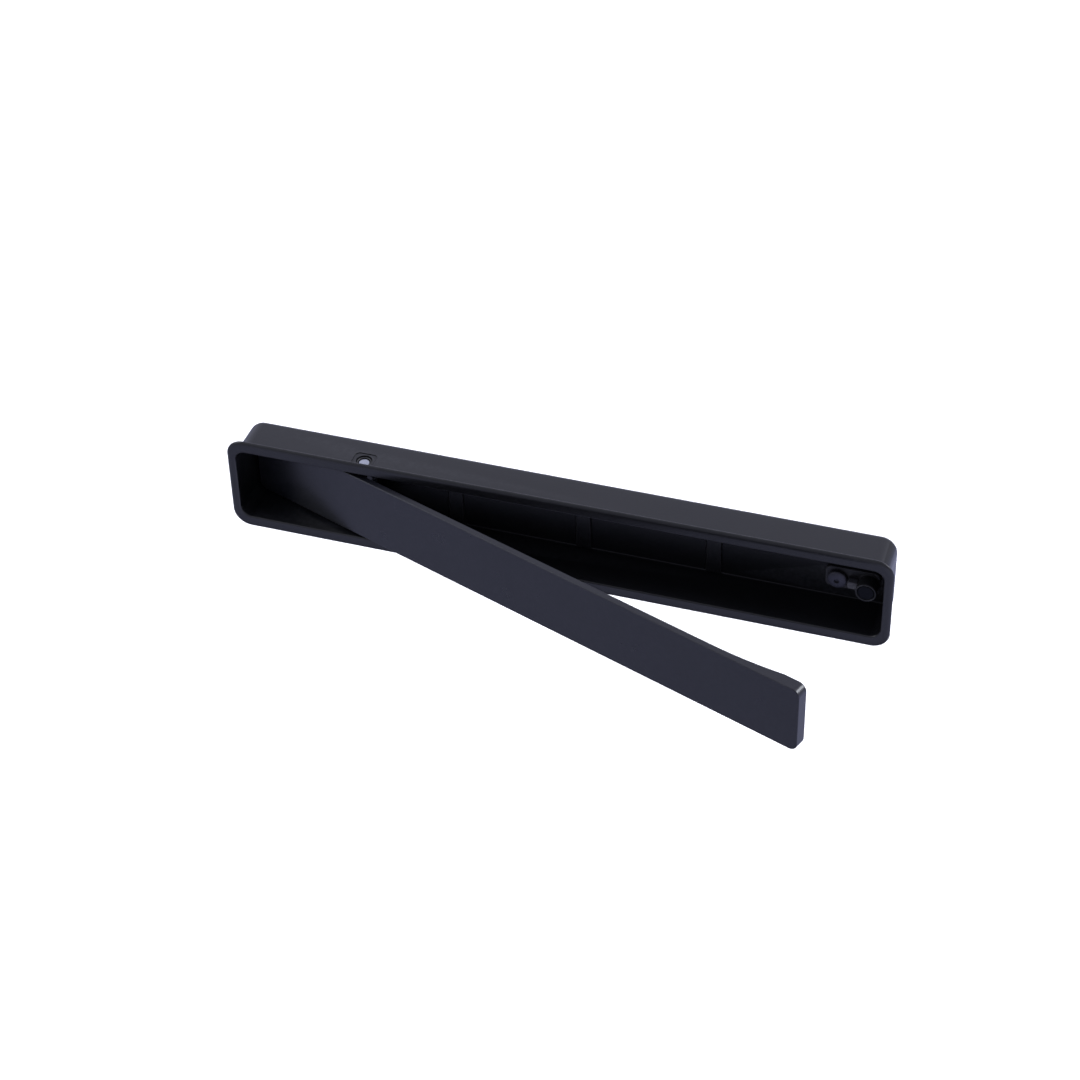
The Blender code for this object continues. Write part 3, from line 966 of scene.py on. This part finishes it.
def make_world():
    """Soft surround: brighter to the right below and to the back above, and dark straight down."""
    world = bpy.data.worlds.new("studio")
    bpy.context.scene.world = world
    world.use_nodes = True
    tree = world.node_tree
    background = tree.nodes["Background"]
    source = tree.nodes.new("ShaderNodeTexCoord")
    axes = tree.nodes.new("ShaderNodeSeparateXYZ")
    tree.links.new(source.outputs["Generated"], axes.inputs["Vector"])
    below = remap(tree, axes.outputs["X"], below_left, below_right, -0.7, 0.7)
    above = remap(tree, axes.outputs["Y"], above_front, above_back, -0.75, 0.6)
    below = multiply(tree, below, remap(tree, axes.outputs["Z"], straight_down, 1.0, -0.95, -0.6))
    height = remap(tree, axes.outputs["Z"], 0.0, 1.0, -0.3, 0.1)
    strength = tree.nodes.new("ShaderNodeMix")
    strength.data_type = "FLOAT"
    tree.links.new(height, strength.inputs["Factor"])
    tree.links.new(below, strength.inputs["A"])
    tree.links.new(above, strength.inputs["B"])
    tree.links.new(strength.outputs["Result"], background.inputs["Strength"])
    cool = blend_colours(tree, height, tint_below, tint_above)
    tree.links.new(cool, background.inputs["Color"])


def make_light(name, position, target, size, power, colour=(1, 1, 1), mirrored=True):
    light = bpy.data.lights.new(name, "AREA")
    light.shape = "RECTANGLE"
    light.size, light.size_y = size
    light.energy = power
    light.color = colour
    obj = bpy.data.objects.new(name, light)
    bpy.context.scene.collection.objects.link(obj)
    obj.location = position
    obj.rotation_mode = "QUATERNION"
    obj.rotation_quaternion = (Vector(target) - Vector(position)).to_track_quat("-Z", "Y")
    obj.visible_glossy = mirrored


def make_studio():
    make_floor()
    make_backdrop()
    make_world()
    make_light("overhead", (0.0, 0.3, 1.3), (0, 0.3, 0), (1.6, 1.2), overhead_watts, mirrored=False)
    make_light("right", (0.9, 0.38, 0.55), (0.05, 0, 0), (0.35, 0.4), right_watts, side_tint)
    make_light("left", (-0.9, -0.28, 0.62), (0, 0, 0), (0.9, 0.4), left_watts, side_tint)
    make_camera()
    bpy.context.scene.view_settings.view_transform = "Standard"


# The third colour of each paint is its paler edge colour: thin paint and a painted highlight.
housing_paint = painted_metal("black_paint", (0.0042, 0.0044, 0.0054), (0.014, 0.0145, 0.017), 0.30, 0.36)
dull_recess(housing_paint)
lever_paint = painted_metal("lever_paint", (0.0042, 0.0046, 0.007), (0.014, 0.015, 0.020), 0.27, 0.32)
pin_steel = turned_steel("pin_steel", (0.55, 0.58, 0.63), 0.2, 0.34, (1, 1, 0.15))
strike_steel = turned_steel("strike_steel", (0.38, 0.38, 0.40), 0.28, 0.4, (0.2, 1, 1))
magnet_nickel = turned_steel("magnet_nickel", (0.016, 0.017, 0.020), 0.5, 0.6, (1, 1, 1))
screw_metal = turned_steel("screw_black", (0.085, 0.085, 0.10), 0.55, 0.68, (1, 1, 1))
nylon = moulded("nylon", (0.008, 0.008, 0.009), 0.5, 0.62)
plate_black, web_grey = (0.006, 0.006, 0.0075), (0.035, 0.035, 0.043)
bracket_plastic = moulded_bracket("bracket_plastic", plate_black, web_grey, 0.55, 0.68)

make_tray(housing_paint)
make_lever(lever_paint)
make_strike_disc(strike_steel)
make_pin(pin_steel)
make_bushes(nylon)
make_bracket(bracket_plastic)
make_magnet(magnet_nickel)
make_screw(screw_metal)
make_studio()
